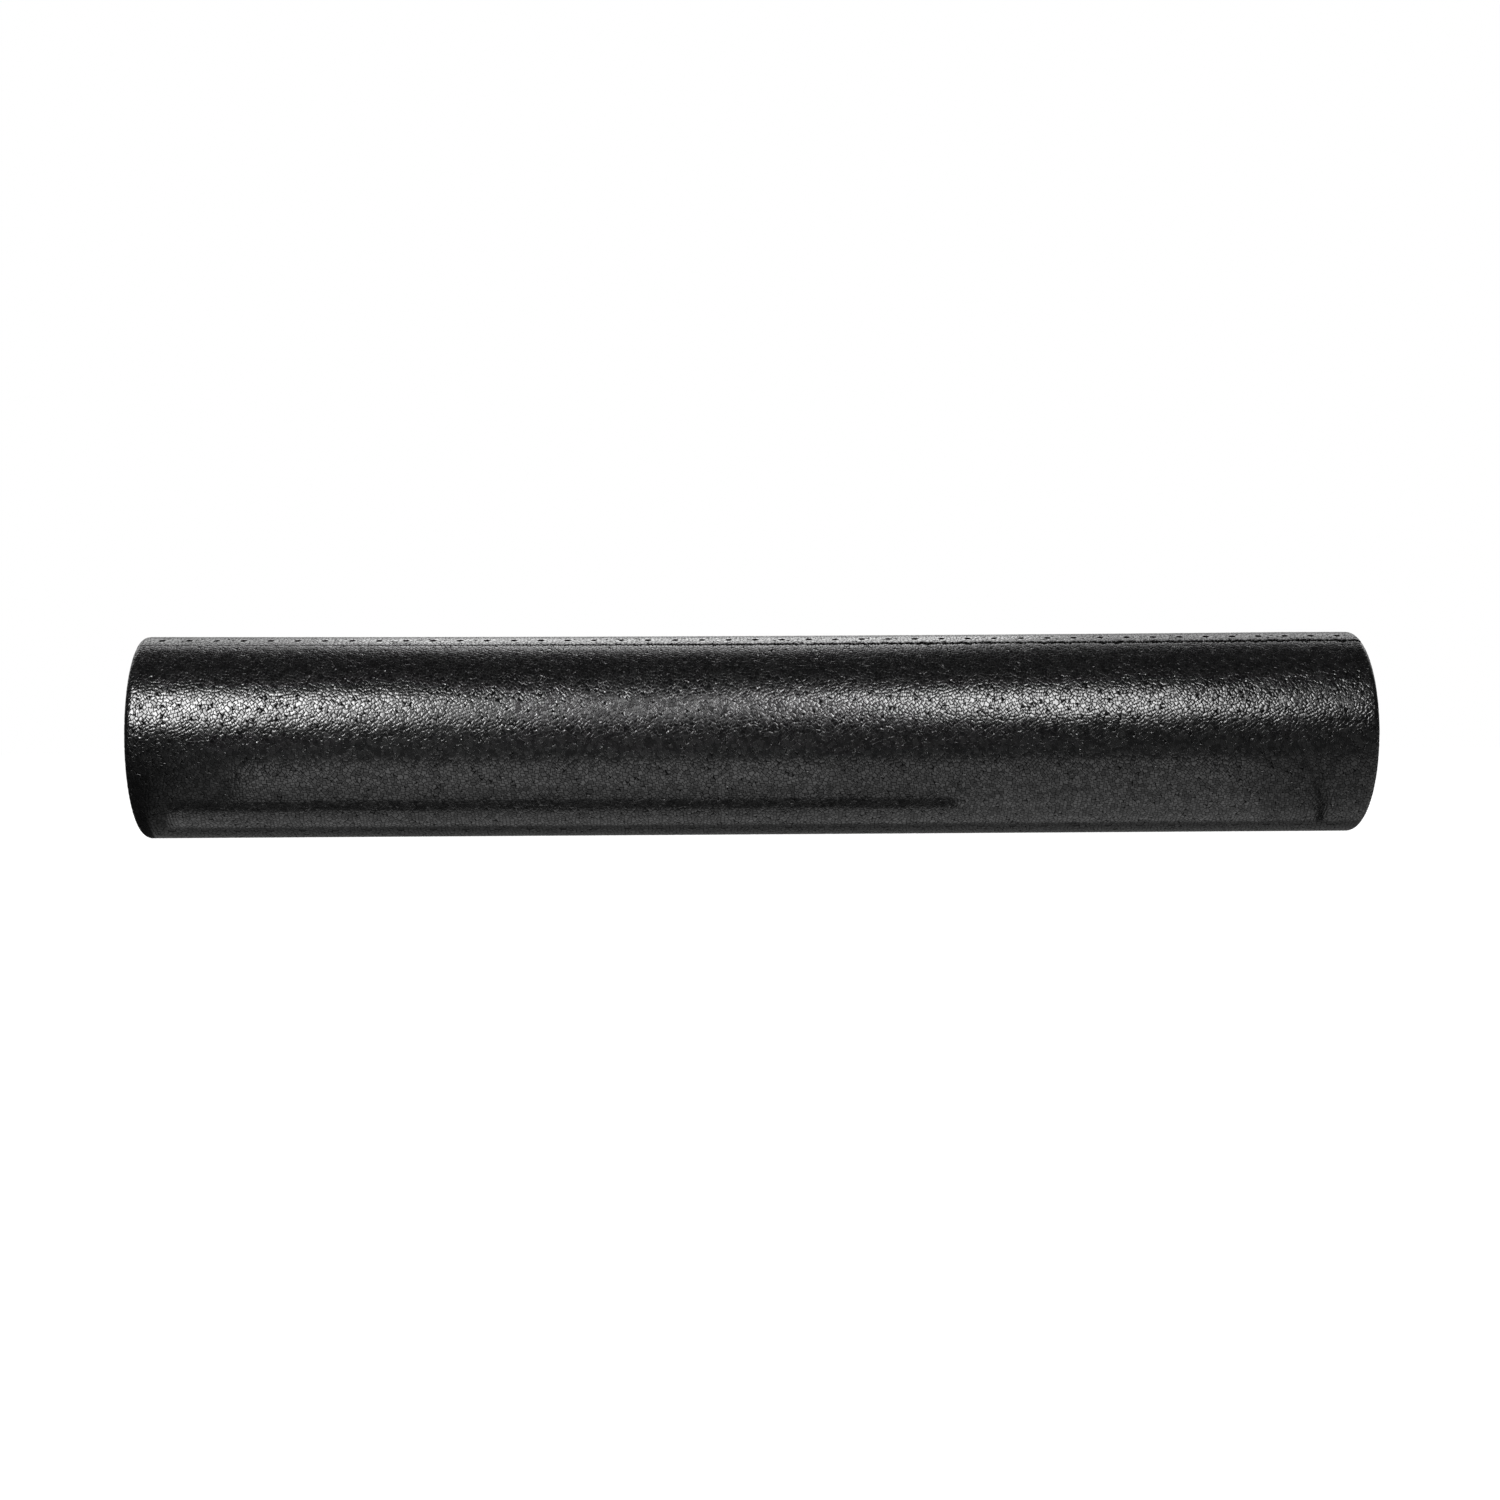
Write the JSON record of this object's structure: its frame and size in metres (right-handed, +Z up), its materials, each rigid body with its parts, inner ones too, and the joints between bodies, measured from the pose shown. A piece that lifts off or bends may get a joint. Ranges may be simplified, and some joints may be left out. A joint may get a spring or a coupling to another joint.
{
  "type": "foam roller",
  "caption": "Long round exercise roller moulded from fused foam beads, with flat ends and rounded end edges, for rolling muscles against the floor.",
  "frame": {"origin": "centre of the roller, on its axis and midway between its end faces", "axes": "+X along the roller's axis, +Z up, -Y towards the side with the upper parting line"},
  "size_m": [0.9144, 0.1523, 0.1524],
  "materials": {
    "foam": "black moulded bead foam with a soft satin skin"
  },
  "bodies": {
    "root": {"foam_body": "foam"}
  },
  "joints": []
}
